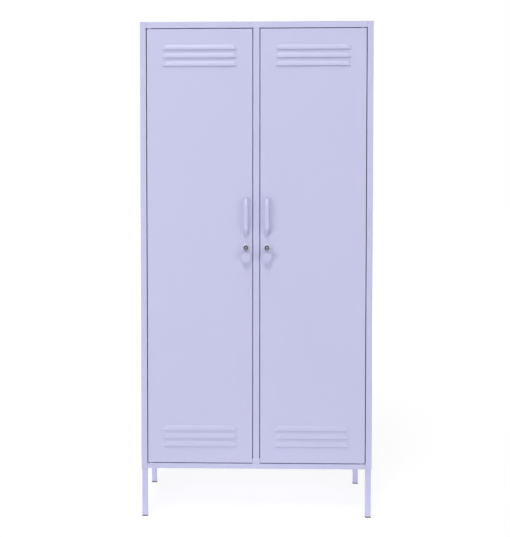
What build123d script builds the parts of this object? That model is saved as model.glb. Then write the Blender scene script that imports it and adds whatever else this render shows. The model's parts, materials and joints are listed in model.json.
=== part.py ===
from build123d import *
import os

# Overall sizes
width = 850.0
depth = 460.0
height = 1825.0
leg_height = 181.0

# Sheet metal
sheet = 0.8
bend = 1.6
seam = 0.2
rear_flange = 18.0

# Front frame
stile = 22.0
top_rail = 23.0
bottom_rail = 19.0
mullion = 23.0
frame_return = 20.0
stop_lip = 14.0
stop_gap = 1.2

# Foot plate that joins the mullion to the floor
foot_plate_gap = 0.5
foot_plate_height = 20.0
foot_plate_depth = 15.0
foot_plate_room = 2.0

# Partition between the two lockers
partition_flange = 14.0
partition_tongue = 8.0
partition_room = 1.0

# Doors
door_gap = 3.0
door_depth = 18.0
door_lip = 9.0
stiffener_width = 40.0
stiffener_flange = 12.0
stiffener_depth = 14.0
stiffener_height = 1150.0

# Louvres
louvre_count = 3
louvre_length = 272.0
louvre_height = 17.0
louvre_reach = 4.5
louvre_pitch = 29.6
louvre_top_margin = 58.0
louvre_low_margin = 62.0

# Fits
running_fit = 0.05
hole_fit = 0.1
rest_gap = 0.3

# Hinge pins and bushes
pivot_inset = 11.0
pivot_setback = 8.0
pin_radius = 3.0
pin_head_radius = 5.0
pin_head = 2.0
bush_wall = 1.5
bush_flange = 1.0
bush_flange_radius = 6.5
bush_length = 8.0

# Handles
pull_inset = 24.0
handle_rise = 912.0
handle_centres = 128.0
handle_flat = 92.0
handle_reach = 28.0
handle_width = 15.0
handle_thick = 8.0
handle_corner = 3.5
handle_foot_rise = 9.0
handle_foot_radius = 8.0
handle_bow_radius = 14.0
handle_screw_radius = 2.0
handle_screw_grip = 7.0
handle_screw_head_radius = 4.0
handle_screw_head = 2.4

# Locks
lock_drop = 114.5
bezel_radius = 12.5
bezel_reach = 5.0
bezel_round = 2.0
barrel_radius = 11.0
plug_radius = 9.0
plug_recess = 3.0
keyway_width = 2.2
keyway_height = 9.0
keyway_depth = 16.0
lock_nut_radius = 15.0
lock_nut_height = 5.0
cam_room = 1.5
cam_thick = 2.0
cam_width = 15.0
cam_reach = 22.0
cam_square = 7.0
cam_screw_radius = 2.0
cam_screw_grip = 6.0
cam_screw_head_radius = 5.0
cam_screw_head = 2.0

# Folding keys
key_reach = 22.0
key_eye_radius = 4.0
key_pin_radius = 1.25
key_slip = 0.3
key_head_width = 33.0
key_head_drop = 52.5
key_head_thick = 6.0
key_neck_width = 5.0
key_neck_drop = 19.0
key_ring_radius = 2.5
key_ring_margin = 7.0

# Magnetic catches and door buffers
catch_drop = 48.0
catch_width = 11.0
catch_length = 34.0
catch_depth = 10.0
catch_nose_length = 24.0
catch_offset = 19.0
magnet_width = 6.0
magnet_length = 18.0
magnet_depth = 5.0
buffer_radius = 3.5
buffer_low_inset = 60.0
buffer_top_inset = 120.0

# Shelves and hanging rails
shelf_drop = 330.0
shelf_setback = 45.0
shelf_lip = 20.0
shelf_slip = 1.0
runner_width = 14.0
runner_length = 340.0
rail_drop = 60.0
rail_radius = 12.5
rail_wall = 1.2
socket_radius = 20.0
socket_base = 2.0
socket_depth = 12.0
socket_wall = 2.0

# Legs and feet
leg_size = 20.0
leg_wall = 1.5
leg_corner = 2.0
leg_inset = 2.0
leg_setback = 3.0
leg_plate_size = 50.0
leg_plate = 3.0
leg_plate_room = 2.0
foot_height = 4.0
foot_overhang = 0.5
foot_plug = 14.0
leg_screw_near = 17.0
leg_screw_far = 42.0
leg_screw_radius = 3.0
leg_screw_grip = 8.0
leg_screw_head_radius = 5.5
leg_screw_head = 2.5

# Rivets and wall fixing holes on the back
wall_hole_radius = 4.0
wall_hole_spacing = 500.0
wall_hole_drop = 60.0
rivet_rows = 5
rivet_radius = 1.6
rivet_head_radius = 3.5
rivet_head = 1.0
rivet_tail = 1.0
rivet_margin = 70.0

# Lines of the body
front = (handle_reach - depth) / 2
back = front + depth
mid_depth = (front + back) / 2
half = width / 2
web_inside = half - sheet
stile_edge = half - stile
rail_half = stile_edge - seam
floor_top = leg_height + bottom_rail
rail_low = height - top_rail
body_top = height - sheet
mullion_half = mullion / 2
stop_edge = mullion_half + stop_lip
shelf_height = height - shelf_drop
rail_height = shelf_height - rail_drop

# Lines of the left door
door_hinge_edge = stile_edge - door_gap
door_free_edge = mullion_half + door_gap
foot_plate_width = 2 * (door_free_edge - foot_plate_gap)
door_width = door_hinge_edge - door_free_edge
door_low = floor_top + door_gap
door_high = rail_low - door_gap
door_back = front + door_depth
door_x = -(door_hinge_edge + door_free_edge) / 2
door_z = (door_low + door_high) / 2
lip_front = door_back + stop_gap
lip_back = lip_front + sheet
pull_x = -(door_free_edge + pull_inset)
handle_height = door_low + handle_rise
lock_height = handle_height - lock_drop
catch_height = door_high - catch_drop
pivot_x = -(door_hinge_edge - pivot_inset)
pivot_y = front + pivot_setback
bush_bore = pin_radius + running_fit
bush_radius = bush_bore + bush_wall
bush_hole = bush_radius + hole_fit
cam_front = lip_back + cam_room
cam_back = cam_front + cam_thick
key_pivot_y = front - key_reach

# Planes seen from the front, where a positive distance comes towards the viewer
front_plane = Plane.XZ.offset(-front)
skin_back_plane = Plane.XZ.offset(-front - sheet)
door_back_plane = Plane.XZ.offset(-door_back)
lip_plane = Plane.XZ.offset(-lip_front)
back_plane = Plane.XZ.offset(-back)
mid_plane = Plane.XZ.offset(-mid_depth)

# Places of the repeated fixings
pivot_points = [(pivot_x, pivot_y), (-pivot_x, pivot_y)]
rivet_step = (height - leg_height - 2 * rivet_margin) / (rivet_rows - 1)
rivet_x = half - rear_flange / 2
rivet_levels = [leg_height + rivet_margin + row * rivet_step for row in range(rivet_rows)]
rivet_points = [(x, z) for x in (-rivet_x, rivet_x) for z in rivet_levels]
wall_hole_z = height - wall_hole_drop
wall_hole_points = [(-wall_hole_spacing / 2, wall_hole_z), (wall_hole_spacing / 2, wall_hole_z)]
leg_x = -(half - leg_inset - leg_size / 2)
leg_y = front + leg_setback + leg_size / 2
leg_corner_x = leg_x - leg_size / 2
leg_corner_y = leg_y - leg_size / 2
leg_screw_points = [
    (leg_corner_x + leg_screw_near, leg_corner_y + leg_screw_far),
    (leg_corner_x + leg_screw_far, leg_corner_y + leg_screw_far),
]
left_screw_points = leg_screw_points + [(x, 2 * mid_depth - y) for x, y in leg_screw_points]
floor_screw_points = left_screw_points + [(-x, y) for x, y in left_screw_points]

pieces = {}


# A strip of sheet folded along an outline, with its thickness to the left of the line
def folded_sheet(plane, points):
    with BuildSketch(plane) as strip:
        with BuildLine():
            FilletPolyline(*points, radius=bend)
            offset(amount=sheet, side=Side.LEFT)
        make_face()
    return strip.sketch


# The same piece on the other side of a plane
def mirrored(piece, plane):
    with BuildPart() as twin:
        mirror(piece.part, about=plane)
    return twin


# Side panel with its stile, its rear flange and a flange under the top
with BuildPart() as left_side_panel:
    side_outline = [
        (-half + rear_flange, back - sheet),
        (-half, back - sheet),
        (-half, front),
        (-stile_edge, front),
        (-stile_edge, front + frame_return),
    ]
    extrude(folded_sheet(Plane.XY.offset(leg_height), side_outline), amount=body_top - leg_height)
    with BuildSketch(Plane.XY.offset(leg_height)):
        with Locations((-stile_edge, front + bend)):
            Rectangle(2 * (bend + sheet), frame_return, align=(Align.CENTER, Align.MIN))
    extrude(amount=bottom_rail, mode=Mode.SUBTRACT)
    with BuildSketch(Plane.XY.offset(body_top)):
        with Locations((-half, mid_depth)):
            Rectangle(rear_flange, depth - 2 * (frame_return + bend), align=(Align.MIN, Align.CENTER))
    extrude(amount=-sheet)
    with BuildSketch(back_plane):
        with Locations(*rivet_points):
            Circle(rivet_radius + hole_fit)
    extrude(amount=2 * sheet, mode=Mode.SUBTRACT)
pieces["left_side_panel"] = left_side_panel
pieces["right_side_panel"] = mirrored(left_side_panel, Plane.YZ)

# Top panel with the top rail folded at its front
with BuildPart() as top_panel:
    top_outline = [
        (back - sheet, height - rear_flange),
        (back - sheet, height),
        (front, height),
        (front, rail_low),
        (front + frame_return, rail_low),
    ]
    extrude(folded_sheet(Plane.YZ.offset(-rail_half), top_outline), amount=2 * rail_half)
    with BuildSketch(Plane.XY.offset(body_top)):
        with Locations((-half, front), (rail_half, front)):
            Rectangle(half - rail_half, depth - sheet, align=(Align.MIN, Align.MIN))
    extrude(amount=sheet)
    with BuildSketch(Plane.XY.offset(rail_low)):
        with Locations(*pivot_points):
            Circle(bush_hole)
    extrude(amount=sheet, mode=Mode.SUBTRACT)
pieces["top_panel"] = top_panel

# Bottom panel with the bottom rail folded at its front and skirts at its sides
with BuildPart() as bottom_panel:
    bottom_outline = [
        (back - sheet, leg_height),
        (back - sheet, floor_top),
        (front, floor_top),
        (front, leg_height),
        (front + frame_return, leg_height),
    ]
    extrude(folded_sheet(Plane.YZ.offset(-rail_half), bottom_outline), amount=2 * rail_half)
    floor_start = front + sheet + bend
    floor_length = back - sheet - bend - floor_start
    with BuildSketch(Plane.XY.offset(floor_top)):
        with Locations((-web_inside, floor_start), (rail_half, floor_start)):
            Rectangle(web_inside - rail_half, floor_length, align=(Align.MIN, Align.MIN))
    extrude(amount=-sheet)
    with BuildSketch(Plane.XY.offset(floor_top)):
        with Locations((-web_inside, floor_start), (web_inside - sheet, floor_start)):
            Rectangle(sheet, floor_length, align=(Align.MIN, Align.MIN))
    extrude(amount=-bottom_rail)
    with BuildSketch(Plane.XY.offset(floor_top)):
        with Locations(*pivot_points):
            Circle(bush_hole)
        with Locations(*floor_screw_points):
            Circle(leg_screw_radius + hole_fit)
    extrude(amount=-sheet, mode=Mode.SUBTRACT)
pieces["bottom_panel"] = bottom_panel

# Back panel with its wall fixing holes
with BuildPart() as back_panel:
    with BuildSketch(back_plane):
        with Locations((0, leg_height)):
            Rectangle(width, height - leg_height, align=(Align.CENTER, Align.MIN))
        with Locations(*wall_hole_points):
            Circle(wall_hole_radius, mode=Mode.SUBTRACT)
        with Locations(*rivet_points):
            Circle(rivet_radius + hole_fit, mode=Mode.SUBTRACT)
    extrude(amount=sheet)
pieces["back_panel"] = back_panel

# Rivets that hold the back panel to the rear flanges
with BuildPart() as back_rivets:
    with BuildSketch(back_plane):
        with Locations(*rivet_points):
            Circle(rivet_head_radius)
    extrude(amount=-rivet_head)
    with BuildSketch(back_plane):
        with Locations(*rivet_points):
            Circle(rivet_radius)
    extrude(amount=2 * sheet + rivet_tail)
pieces["back_rivets"] = back_rivets

# Centre mullion, a hat section whose lips stop the doors
with BuildPart() as centre_mullion:
    mullion_outline = [
        (-stop_edge, lip_front),
        (-mullion_half, lip_front),
        (-mullion_half, front),
        (mullion_half, front),
        (mullion_half, lip_front),
        (stop_edge, lip_front),
    ]
    extrude(folded_sheet(Plane.XY.offset(floor_top), mullion_outline), amount=rail_low - floor_top)
    with BuildSketch(Plane.XY.offset(floor_top)):
        with Locations((0, front + sheet)):
            Rectangle(2 * stop_edge, lip_back - front, align=(Align.CENTER, Align.MIN))
    extrude(amount=foot_plate_height + foot_plate_room, mode=Mode.SUBTRACT)
    with BuildSketch(lip_plane):
        with Locations((-catch_offset, catch_height), (catch_offset, catch_height)):
            Rectangle(catch_width + 2 * hole_fit, catch_nose_length + 2 * hole_fit)
    extrude(amount=-sheet, mode=Mode.SUBTRACT)
pieces["centre_mullion"] = centre_mullion

# Foot plate behind the lower end of the mullion
with BuildPart() as mullion_foot_plate:
    foot_plate_front = front + sheet
    foot_outline = [
        (foot_plate_front, floor_top + foot_plate_height),
        (foot_plate_front, floor_top),
        (foot_plate_front + foot_plate_depth, floor_top),
    ]
    extrude(folded_sheet(Plane.YZ.offset(-foot_plate_width / 2), foot_outline), amount=foot_plate_width)
pieces["mullion_foot_plate"] = mullion_foot_plate

# Partition, welded inside the mullion and to the back
with BuildPart() as centre_partition:
    partition_face = sheet / 2
    partition_outline = [
        (partition_face - partition_tongue, front + sheet),
        (partition_face, front + sheet),
        (partition_face, back - sheet),
        (partition_face - partition_flange, back - sheet),
    ]
    extrude(folded_sheet(Plane.XY.offset(floor_top), partition_outline), amount=body_top - floor_top)
    plate_clear = front + sheet + foot_plate_depth + partition_room
    with BuildSketch(Plane.XY.offset(floor_top)):
        with Locations((partition_face, front)):
            Rectangle(partition_tongue, plate_clear - front, align=(Align.MAX, Align.MIN))
    extrude(amount=foot_plate_height + foot_plate_room, mode=Mode.SUBTRACT)
    return_clear = front + frame_return + partition_room
    with BuildSketch(Plane.XY.offset(body_top)):
        with Locations((partition_face, front)):
            Rectangle(partition_tongue, return_clear - front, align=(Align.MAX, Align.MIN))
    extrude(amount=rail_low - body_top, mode=Mode.SUBTRACT)
    with BuildSketch(Plane.XY.offset(body_top)):
        with Locations((partition_face, back)):
            Rectangle(partition_flange, sheet + bend, align=(Align.MAX, Align.MAX))
    extrude(amount=-rear_flange, mode=Mode.SUBTRACT)
    flange_start = return_clear + partition_flange
    flange_length = back - sheet - partition_flange - flange_start
    for flange_level, flange_way in ((floor_top, sheet), (body_top, -sheet)):
        with BuildSketch(Plane.XY.offset(flange_level)):
            with Locations((partition_face, flange_start)):
                Rectangle(partition_flange, flange_length, align=(Align.MAX, Align.MIN))
        extrude(amount=flange_way)
pieces["centre_partition"] = centre_partition

# Hat shelves, each a tray with its edges turned down
with BuildPart() as left_shelf:
    shelf_left = -web_inside + shelf_slip
    shelf_right = -sheet / 2 - shelf_slip
    shelf_front = front + shelf_setback
    shelf_back = back - 2 * sheet - shelf_slip
    with BuildSketch(Plane.XY.offset(shelf_height)):
        with Locations((shelf_left, shelf_front)):
            Rectangle(shelf_right - shelf_left, shelf_back - shelf_front, align=(Align.MIN, Align.MIN))
    extrude(amount=-shelf_lip)
    fillet(left_shelf.faces().sort_by(Axis.Z)[-1].edges(), radius=bend)
    offset(amount=-sheet, openings=left_shelf.faces().sort_by(Axis.Z)[0])
pieces["left_shelf"] = left_shelf
pieces["right_shelf"] = mirrored(left_shelf, Plane.YZ)

# Angle runners that carry the shelves
with BuildPart() as shelf_runners:
    runner_top = shelf_height - shelf_lip
    runner_plane = Plane.XZ.offset(-shelf_front - runner_length)
    side_runner = [
        (-web_inside + runner_width, runner_top),
        (-web_inside, runner_top),
        (-web_inside, runner_top - runner_width),
    ]
    extrude(folded_sheet(runner_plane, side_runner), amount=runner_length)
    partition_runner = [
        (-sheet / 2, runner_top - runner_width),
        (-sheet / 2, runner_top),
        (-sheet / 2 - runner_width, runner_top),
    ]
    extrude(folded_sheet(runner_plane, partition_runner), amount=runner_length)
    mirror(about=Plane.YZ)
pieces["shelf_runners"] = shelf_runners

# Hanging rails, each a tube from wall to wall
rail_left = -web_inside + socket_base + rest_gap
rail_right = -sheet / 2 - socket_base - rest_gap
with BuildPart() as left_hanging_rail:
    with BuildSketch(Plane.YZ.offset(rail_left)):
        with Locations((mid_depth, rail_height)):
            Circle(rail_radius)
            Circle(rail_radius - rail_wall, mode=Mode.SUBTRACT)
    extrude(amount=rail_right - rail_left)
pieces["left_hanging_rail"] = left_hanging_rail
pieces["right_hanging_rail"] = mirrored(left_hanging_rail, Plane.YZ)

# Sockets that hold the ends of the rails
with BuildPart() as rail_sockets:
    for wall, way in ((-web_inside, 1), (-sheet / 2, -1)):
        with BuildSketch(Plane.YZ.offset(wall)):
            with Locations((mid_depth, rail_height)):
                Circle(socket_radius)
        extrude(amount=way * socket_base)
        with BuildSketch(Plane.YZ.offset(wall)):
            with Locations((mid_depth, rail_height)):
                Circle(rail_radius + hole_fit + socket_wall)
        extrude(amount=way * socket_depth)
        with BuildSketch(Plane.YZ.offset(wall + way * socket_base)):
            with Locations((mid_depth, rail_height)):
                Circle(rail_radius + hole_fit)
        extrude(amount=way * socket_depth, mode=Mode.SUBTRACT)
    mirror(about=Plane.YZ)
pieces["rail_sockets"] = rail_sockets

# Leg, a square tube with a plate that screws up under the floor
leg_top = floor_top - sheet
with BuildPart() as leg_front_left:
    with BuildSketch(Plane.XY.offset(foot_height)):
        with Locations((leg_x, leg_y)):
            RectangleRounded(leg_size, leg_size, leg_corner)
            Rectangle(leg_size - 2 * leg_wall, leg_size - 2 * leg_wall, mode=Mode.SUBTRACT)
    extrude(amount=leg_top - foot_height)
    with BuildSketch(Plane.XY.offset(leg_top)):
        with Locations((leg_corner_x, leg_corner_y)):
            Rectangle(leg_plate_size, leg_plate_size, align=(Align.MIN, Align.MIN))
        with Locations(pivot_points[0]):
            Circle(bush_radius + leg_plate_room, mode=Mode.SUBTRACT)
        with Locations(*leg_screw_points):
            Circle(leg_screw_radius + running_fit, mode=Mode.SUBTRACT)
    extrude(amount=-leg_plate)
leg_rear_left = mirrored(leg_front_left, mid_plane)
pieces["leg_front_left"] = leg_front_left
pieces["leg_front_right"] = mirrored(leg_front_left, Plane.YZ)
pieces["leg_rear_left"] = leg_rear_left
pieces["leg_rear_right"] = mirrored(leg_rear_left, Plane.YZ)

# Foot cap with a plug that goes up into the leg
with BuildPart() as foot_front_left:
    foot_size = leg_size + 2 * foot_overhang
    plug_size = leg_size - 2 * leg_wall - 2 * hole_fit
    with BuildSketch():
        with Locations((leg_x, leg_y)):
            RectangleRounded(foot_size, foot_size, leg_corner)
    extrude(amount=foot_height)
    with BuildSketch(Plane.XY.offset(foot_height)):
        with Locations((leg_x, leg_y)):
            Rectangle(plug_size, plug_size)
    extrude(amount=foot_plug)
foot_rear_left = mirrored(foot_front_left, mid_plane)
pieces["foot_front_left"] = foot_front_left
pieces["foot_front_right"] = mirrored(foot_front_left, Plane.YZ)
pieces["foot_rear_left"] = foot_rear_left
pieces["foot_rear_right"] = mirrored(foot_rear_left, Plane.YZ)

# Screws through the floor into the leg plates
with BuildPart() as leg_screws:
    with BuildSketch(Plane.XY.offset(floor_top)):
        with Locations(*floor_screw_points):
            RegularPolygon(leg_screw_head_radius, 6)
    extrude(amount=leg_screw_head)
    with BuildSketch(Plane.XY.offset(floor_top)):
        with Locations(*floor_screw_points):
            Circle(leg_screw_radius)
    extrude(amount=-leg_screw_grip)
pieces["leg_screws"] = leg_screws

# Flanged bushes in the floor and in the fold of the top rail
with BuildPart() as hinge_bushes:
    for seat, way in ((floor_top, 1), (rail_low, -1)):
        with BuildSketch(Plane.XY.offset(seat)):
            with Locations(*pivot_points):
                Circle(bush_flange_radius)
                Circle(bush_bore, mode=Mode.SUBTRACT)
        extrude(amount=way * bush_flange)
        with BuildSketch(Plane.XY.offset(seat)):
            with Locations(*pivot_points):
                Circle(bush_radius)
                Circle(bush_bore, mode=Mode.SUBTRACT)
        extrude(amount=-way * bush_length)
pieces["hinge_bushes"] = hinge_bushes

# Magnetic catches, seated behind the lips with their noses through the windows
nose_reach = stop_gap - rest_gap
with BuildPart() as catch_housings:
    catch_points = [(-catch_offset, catch_height), (catch_offset, catch_height)]
    catch_plane = Plane.XZ.offset(-lip_back)
    with BuildSketch(catch_plane):
        with Locations(*catch_points):
            Rectangle(catch_width, catch_length)
    extrude(amount=-catch_depth)
    with BuildSketch(catch_plane):
        with Locations(*catch_points):
            Rectangle(catch_width, catch_nose_length)
    extrude(amount=sheet + nose_reach)
    with BuildSketch(lip_plane.offset(nose_reach)):
        with Locations(*catch_points):
            Rectangle(magnet_width + 2 * hole_fit, magnet_length + 2 * hole_fit)
    extrude(amount=-magnet_depth, mode=Mode.SUBTRACT)
pieces["catch_housings"] = catch_housings

# Magnets in the catches
with BuildPart() as catch_magnets:
    with BuildSketch(lip_plane.offset(nose_reach)):
        with Locations(*catch_points):
            Rectangle(magnet_width, magnet_length)
    extrude(amount=-magnet_depth)
pieces["catch_magnets"] = catch_magnets

# Buffers that the closed doors rest on
with BuildPart() as door_buffers:
    buffer_x = (door_free_edge + stop_edge) / 2
    buffer_levels = (door_low + buffer_low_inset, door_high - buffer_top_inset)
    with BuildSketch(lip_plane):
        with Locations(*[(x, z) for x in (-buffer_x, buffer_x) for z in buffer_levels]):
            Circle(buffer_radius)
    extrude(amount=nose_reach)
pieces["door_buffers"] = door_buffers


# One louvre hood: a quarter ellipse drawn along the slot and turned round at both ends
def louvre_hood(rise, reach):
    with BuildPart() as hood:
        with BuildSketch(Plane.YZ.offset(louvre_straight)) as profile:
            with BuildLine():
                crown = EllipticalCenterArc((0, 0), reach, rise, start_angle=90, arc_size=90)
                Polyline(crown @ 1, (0, 0), crown @ 0)
            make_face()
        extrude(profile.sketch, amount=-louvre_straight)
        revolve(profile.sketch, axis=Axis((louvre_straight, 0, 0), (0, 1, 0)), revolution_arc=90)
        mirror(about=Plane.YZ)
    return hood


# Outline of a louvre's slot through the door skin
def louvre_slot(rise):
    with BuildSketch() as slot:
        with BuildLine():
            Line((-louvre_straight, rise), (louvre_straight, rise))
            CenterArc((louvre_straight, 0), rise, 0, 90)
            CenterArc((-louvre_straight, 0), rise, 90, 90)
            Line((-louvre_straight - rise, 0), (louvre_straight + rise, 0))
        make_face()
    return slot


# Door panel, a pan with lips behind and louvres pressed out of its front
highest_louvre = door_high - louvre_top_margin - louvre_height
lowest_louvre = door_low + louvre_low_margin
louvre_levels = [highest_louvre - row * louvre_pitch for row in range(louvre_count)]
louvre_levels += [lowest_louvre + row * louvre_pitch for row in range(louvre_count)]
louvre_straight = louvre_length / 2 - louvre_height
hood_outside = louvre_hood(louvre_height, louvre_reach)
hood_inside = louvre_hood(louvre_height - sheet, louvre_reach - sheet)
hood_slot = louvre_slot(louvre_height - sheet)
handle_low = handle_height - handle_centres / 2
handle_high = handle_height + handle_centres / 2
handle_screw_points = [(pull_x, handle_low), (pull_x, handle_high)]
with BuildPart() as left_door_panel:
    with BuildSketch(front_plane):
        with Locations((door_x, door_z)):
            Rectangle(door_width, door_high - door_low)
    extrude(amount=-door_depth)
    fillet(left_door_panel.edges().filter_by(Axis.Y), radius=bend)
    fillet(left_door_panel.faces().sort_by(Axis.Y)[0].edges(), radius=bend)
    offset(amount=-sheet, openings=left_door_panel.faces().sort_by(Axis.Y)[-1])
    with BuildSketch(door_back_plane):
        with Locations((door_x, door_z)):
            RectangleRounded(door_width, door_high - door_low, bend)
            Rectangle(door_width - 2 * door_lip, door_high - door_low - 2 * door_lip, mode=Mode.SUBTRACT)
    extrude(amount=sheet)
    with Locations(*[(door_x, front, level) for level in louvre_levels]):
        add(hood_outside.part)
        add(hood_inside.part, mode=Mode.SUBTRACT)
    with BuildSketch(front_plane):
        with Locations(*[(door_x, level) for level in louvre_levels]):
            add(hood_slot.sketch)
        with Locations(*handle_screw_points):
            Circle(handle_screw_radius + hole_fit)
        with Locations((pull_x, lock_height)):
            Circle(barrel_radius + hole_fit)
    extrude(amount=-sheet, mode=Mode.SUBTRACT)
    with BuildSketch(Plane.XY.offset(door_low)):
        with Locations(pivot_points[0]):
            Circle(pin_radius + hole_fit)
    extrude(amount=sheet, mode=Mode.SUBTRACT)
    with BuildSketch(Plane.XY.offset(door_high)):
        with Locations(pivot_points[0]):
            Circle(pin_radius + hole_fit)
    extrude(amount=-sheet, mode=Mode.SUBTRACT)
pieces["left_door_panel"] = left_door_panel

# Stiffener welded up the middle of the door
with BuildPart() as left_door_stiffener:
    stiffener_foot = front + sheet
    stiffener_half = stiffener_width / 2
    stiffener_outline = [
        (door_x + stiffener_half + stiffener_flange, stiffener_foot + sheet),
        (door_x + stiffener_half, stiffener_foot + sheet),
        (door_x + stiffener_half, stiffener_foot + stiffener_depth),
        (door_x - stiffener_half, stiffener_foot + stiffener_depth),
        (door_x - stiffener_half, stiffener_foot + sheet),
        (door_x - stiffener_half - stiffener_flange, stiffener_foot + sheet),
    ]
    stiffener_plane = Plane.XY.offset(door_z - stiffener_height / 2)
    extrude(folded_sheet(stiffener_plane, stiffener_outline), amount=stiffener_height)
pieces["left_door_stiffener"] = left_door_stiffener

# Bow handle swept along its own line
with BuildPart() as left_door_handle:
    bar_y = front - handle_reach + handle_thick / 2
    bow_points = [
        (front, handle_low),
        (front - handle_foot_rise, handle_low),
        (bar_y, handle_height - handle_flat / 2),
        (bar_y, handle_height + handle_flat / 2),
        (front - handle_foot_rise, handle_high),
        (front, handle_high),
    ]
    bow_radii = [handle_foot_radius, handle_bow_radius, handle_bow_radius, handle_foot_radius]
    with BuildLine(Plane.YZ.offset(pull_x)):
        FilletPolyline(*bow_points, radius=bow_radii)
    with BuildSketch(front_plane):
        with Locations(handle_screw_points[0]):
            RectangleRounded(handle_width, handle_thick, handle_corner)
    sweep()
    with BuildSketch(front_plane):
        with Locations(*handle_screw_points):
            Circle(handle_screw_radius + running_fit)
    extrude(amount=handle_screw_grip, mode=Mode.SUBTRACT)
pieces["left_door_handle"] = left_door_handle

# Handle screws, put in from behind the door
with BuildPart() as left_handle_screws:
    with BuildSketch(skin_back_plane):
        with Locations(*handle_screw_points):
            Circle(handle_screw_head_radius)
    extrude(amount=-handle_screw_head)
    with BuildSketch(skin_back_plane):
        with Locations(*handle_screw_points):
            Circle(handle_screw_radius)
    extrude(amount=handle_screw_grip)
pieces["left_handle_screws"] = left_handle_screws

# Lower hinge pin, with a collar that stands on the bush
with BuildPart() as left_lower_hinge_pin:
    with BuildSketch(Plane.XY.offset(door_low + sheet)):
        with Locations(pivot_points[0]):
            Circle(pin_head_radius)
    extrude(amount=pin_head)
    with BuildSketch(Plane.XY.offset(door_low + sheet)):
        with Locations(pivot_points[0]):
            Circle(pin_radius)
    extrude(amount=floor_top - bush_length - door_low - sheet)
    with BuildSketch(Plane.XY.offset(door_low)):
        with Locations(pivot_points[0]):
            Circle(pin_head_radius)
    extrude(amount=floor_top + bush_flange + rest_gap - door_low)
pieces["left_lower_hinge_pin"] = left_lower_hinge_pin

# Upper hinge pin
with BuildPart() as left_upper_hinge_pin:
    with BuildSketch(Plane.XY.offset(door_high - sheet)):
        with Locations(pivot_points[0]):
            Circle(pin_head_radius)
    extrude(amount=-pin_head)
    with BuildSketch(Plane.XY.offset(door_high - sheet)):
        with Locations(pivot_points[0]):
            Circle(pin_radius)
    extrude(amount=rail_low + bush_length - door_high + sheet)
pieces["left_upper_hinge_pin"] = left_upper_hinge_pin

# Lock housing with its bezel on the front of the door
lock_point = (pull_x, lock_height)
with BuildPart() as left_lock_housing:
    with BuildSketch(front_plane):
        with Locations(lock_point):
            Circle(bezel_radius)
    extrude(amount=bezel_reach)
    fillet(left_lock_housing.faces().sort_by(Axis.Y)[0].edges(), radius=bezel_round)
    with BuildSketch(front_plane):
        with Locations(lock_point):
            Circle(barrel_radius)
    extrude(amount=front - cam_front)
    with BuildSketch(front_plane.offset(bezel_reach)):
        with Locations(lock_point):
            Circle(plug_radius + running_fit)
    extrude(amount=front - cam_front - bezel_reach, mode=Mode.SUBTRACT)
pieces["left_lock_housing"] = left_lock_housing

# Nut that holds the housing in the door
with BuildPart() as left_lock_nut:
    with BuildSketch(skin_back_plane):
        with Locations(lock_point):
            RegularPolygon(lock_nut_radius, 6)
            Circle(barrel_radius + running_fit, mode=Mode.SUBTRACT)
    extrude(amount=-lock_nut_height)
pieces["left_lock_nut"] = left_lock_nut

# Lock plug with its keyway and the square that drives the cam
plug_front_plane = front_plane.offset(bezel_reach - plug_recess)
cam_front_plane = Plane.XZ.offset(-cam_front - rest_gap)
cam_back_plane = Plane.XZ.offset(-cam_back - rest_gap)
with BuildPart() as left_lock_plug:
    with BuildSketch(plug_front_plane):
        with Locations(lock_point):
            Circle(plug_radius)
            Rectangle(keyway_width, keyway_height, mode=Mode.SUBTRACT)
    extrude(amount=-keyway_depth)
    with BuildSketch(plug_front_plane.offset(-keyway_depth)):
        with Locations(lock_point):
            Circle(plug_radius)
    extrude(amount=front - bezel_reach + plug_recess + keyway_depth - cam_front - rest_gap)
    with BuildSketch(cam_front_plane):
        with Locations(lock_point):
            Rectangle(cam_square, cam_square)
    extrude(amount=-cam_thick)
    with BuildSketch(cam_back_plane):
        with Locations(lock_point):
            Circle(cam_screw_radius + running_fit)
    extrude(amount=cam_screw_grip, mode=Mode.SUBTRACT)
pieces["left_lock_plug"] = left_lock_plug

# Cam, upright while the lock is open
with BuildPart() as left_lock_cam:
    with BuildSketch(cam_front_plane):
        with Locations(lock_point):
            Circle(cam_width / 2)
            Rectangle(cam_width, cam_reach - cam_width / 2, align=(Align.CENTER, Align.MIN))
        with Locations((pull_x, lock_height + cam_reach - cam_width / 2)):
            Circle(cam_width / 2)
        with Locations(lock_point):
            Rectangle(cam_square + 2 * hole_fit, cam_square + 2 * hole_fit, mode=Mode.SUBTRACT)
    extrude(amount=-cam_thick)
pieces["left_lock_cam"] = left_lock_cam

# Screw that holds the cam on the plug
with BuildPart() as left_cam_screw:
    with BuildSketch(cam_back_plane):
        with Locations(lock_point):
            Circle(cam_screw_head_radius)
    extrude(amount=-cam_screw_head)
    with BuildSketch(cam_back_plane):
        with Locations(lock_point):
            Circle(cam_screw_radius)
    extrude(amount=cam_screw_grip)
pieces["left_cam_screw"] = left_cam_screw

# Key blade in its keyway, with an eye for the folding head
key_thick = keyway_width - 2 * hole_fit
with BuildPart() as left_key_blade:
    blade_plane = Plane.YZ.offset(pull_x - key_thick / 2)
    blade_end = front - bezel_reach + plug_recess + keyway_depth - hole_fit
    blade_height = keyway_height - 2 * hole_fit
    with BuildSketch(blade_plane):
        with Locations((blade_end, lock_height)):
            Rectangle(blade_end - key_pivot_y, blade_height, align=(Align.MAX, Align.CENTER))
        with Locations((key_pivot_y, lock_height)):
            Circle(key_eye_radius)
            Circle(key_pin_radius + hole_fit, mode=Mode.SUBTRACT)
    extrude(amount=key_thick)
pieces["left_key_blade"] = left_key_blade

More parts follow.
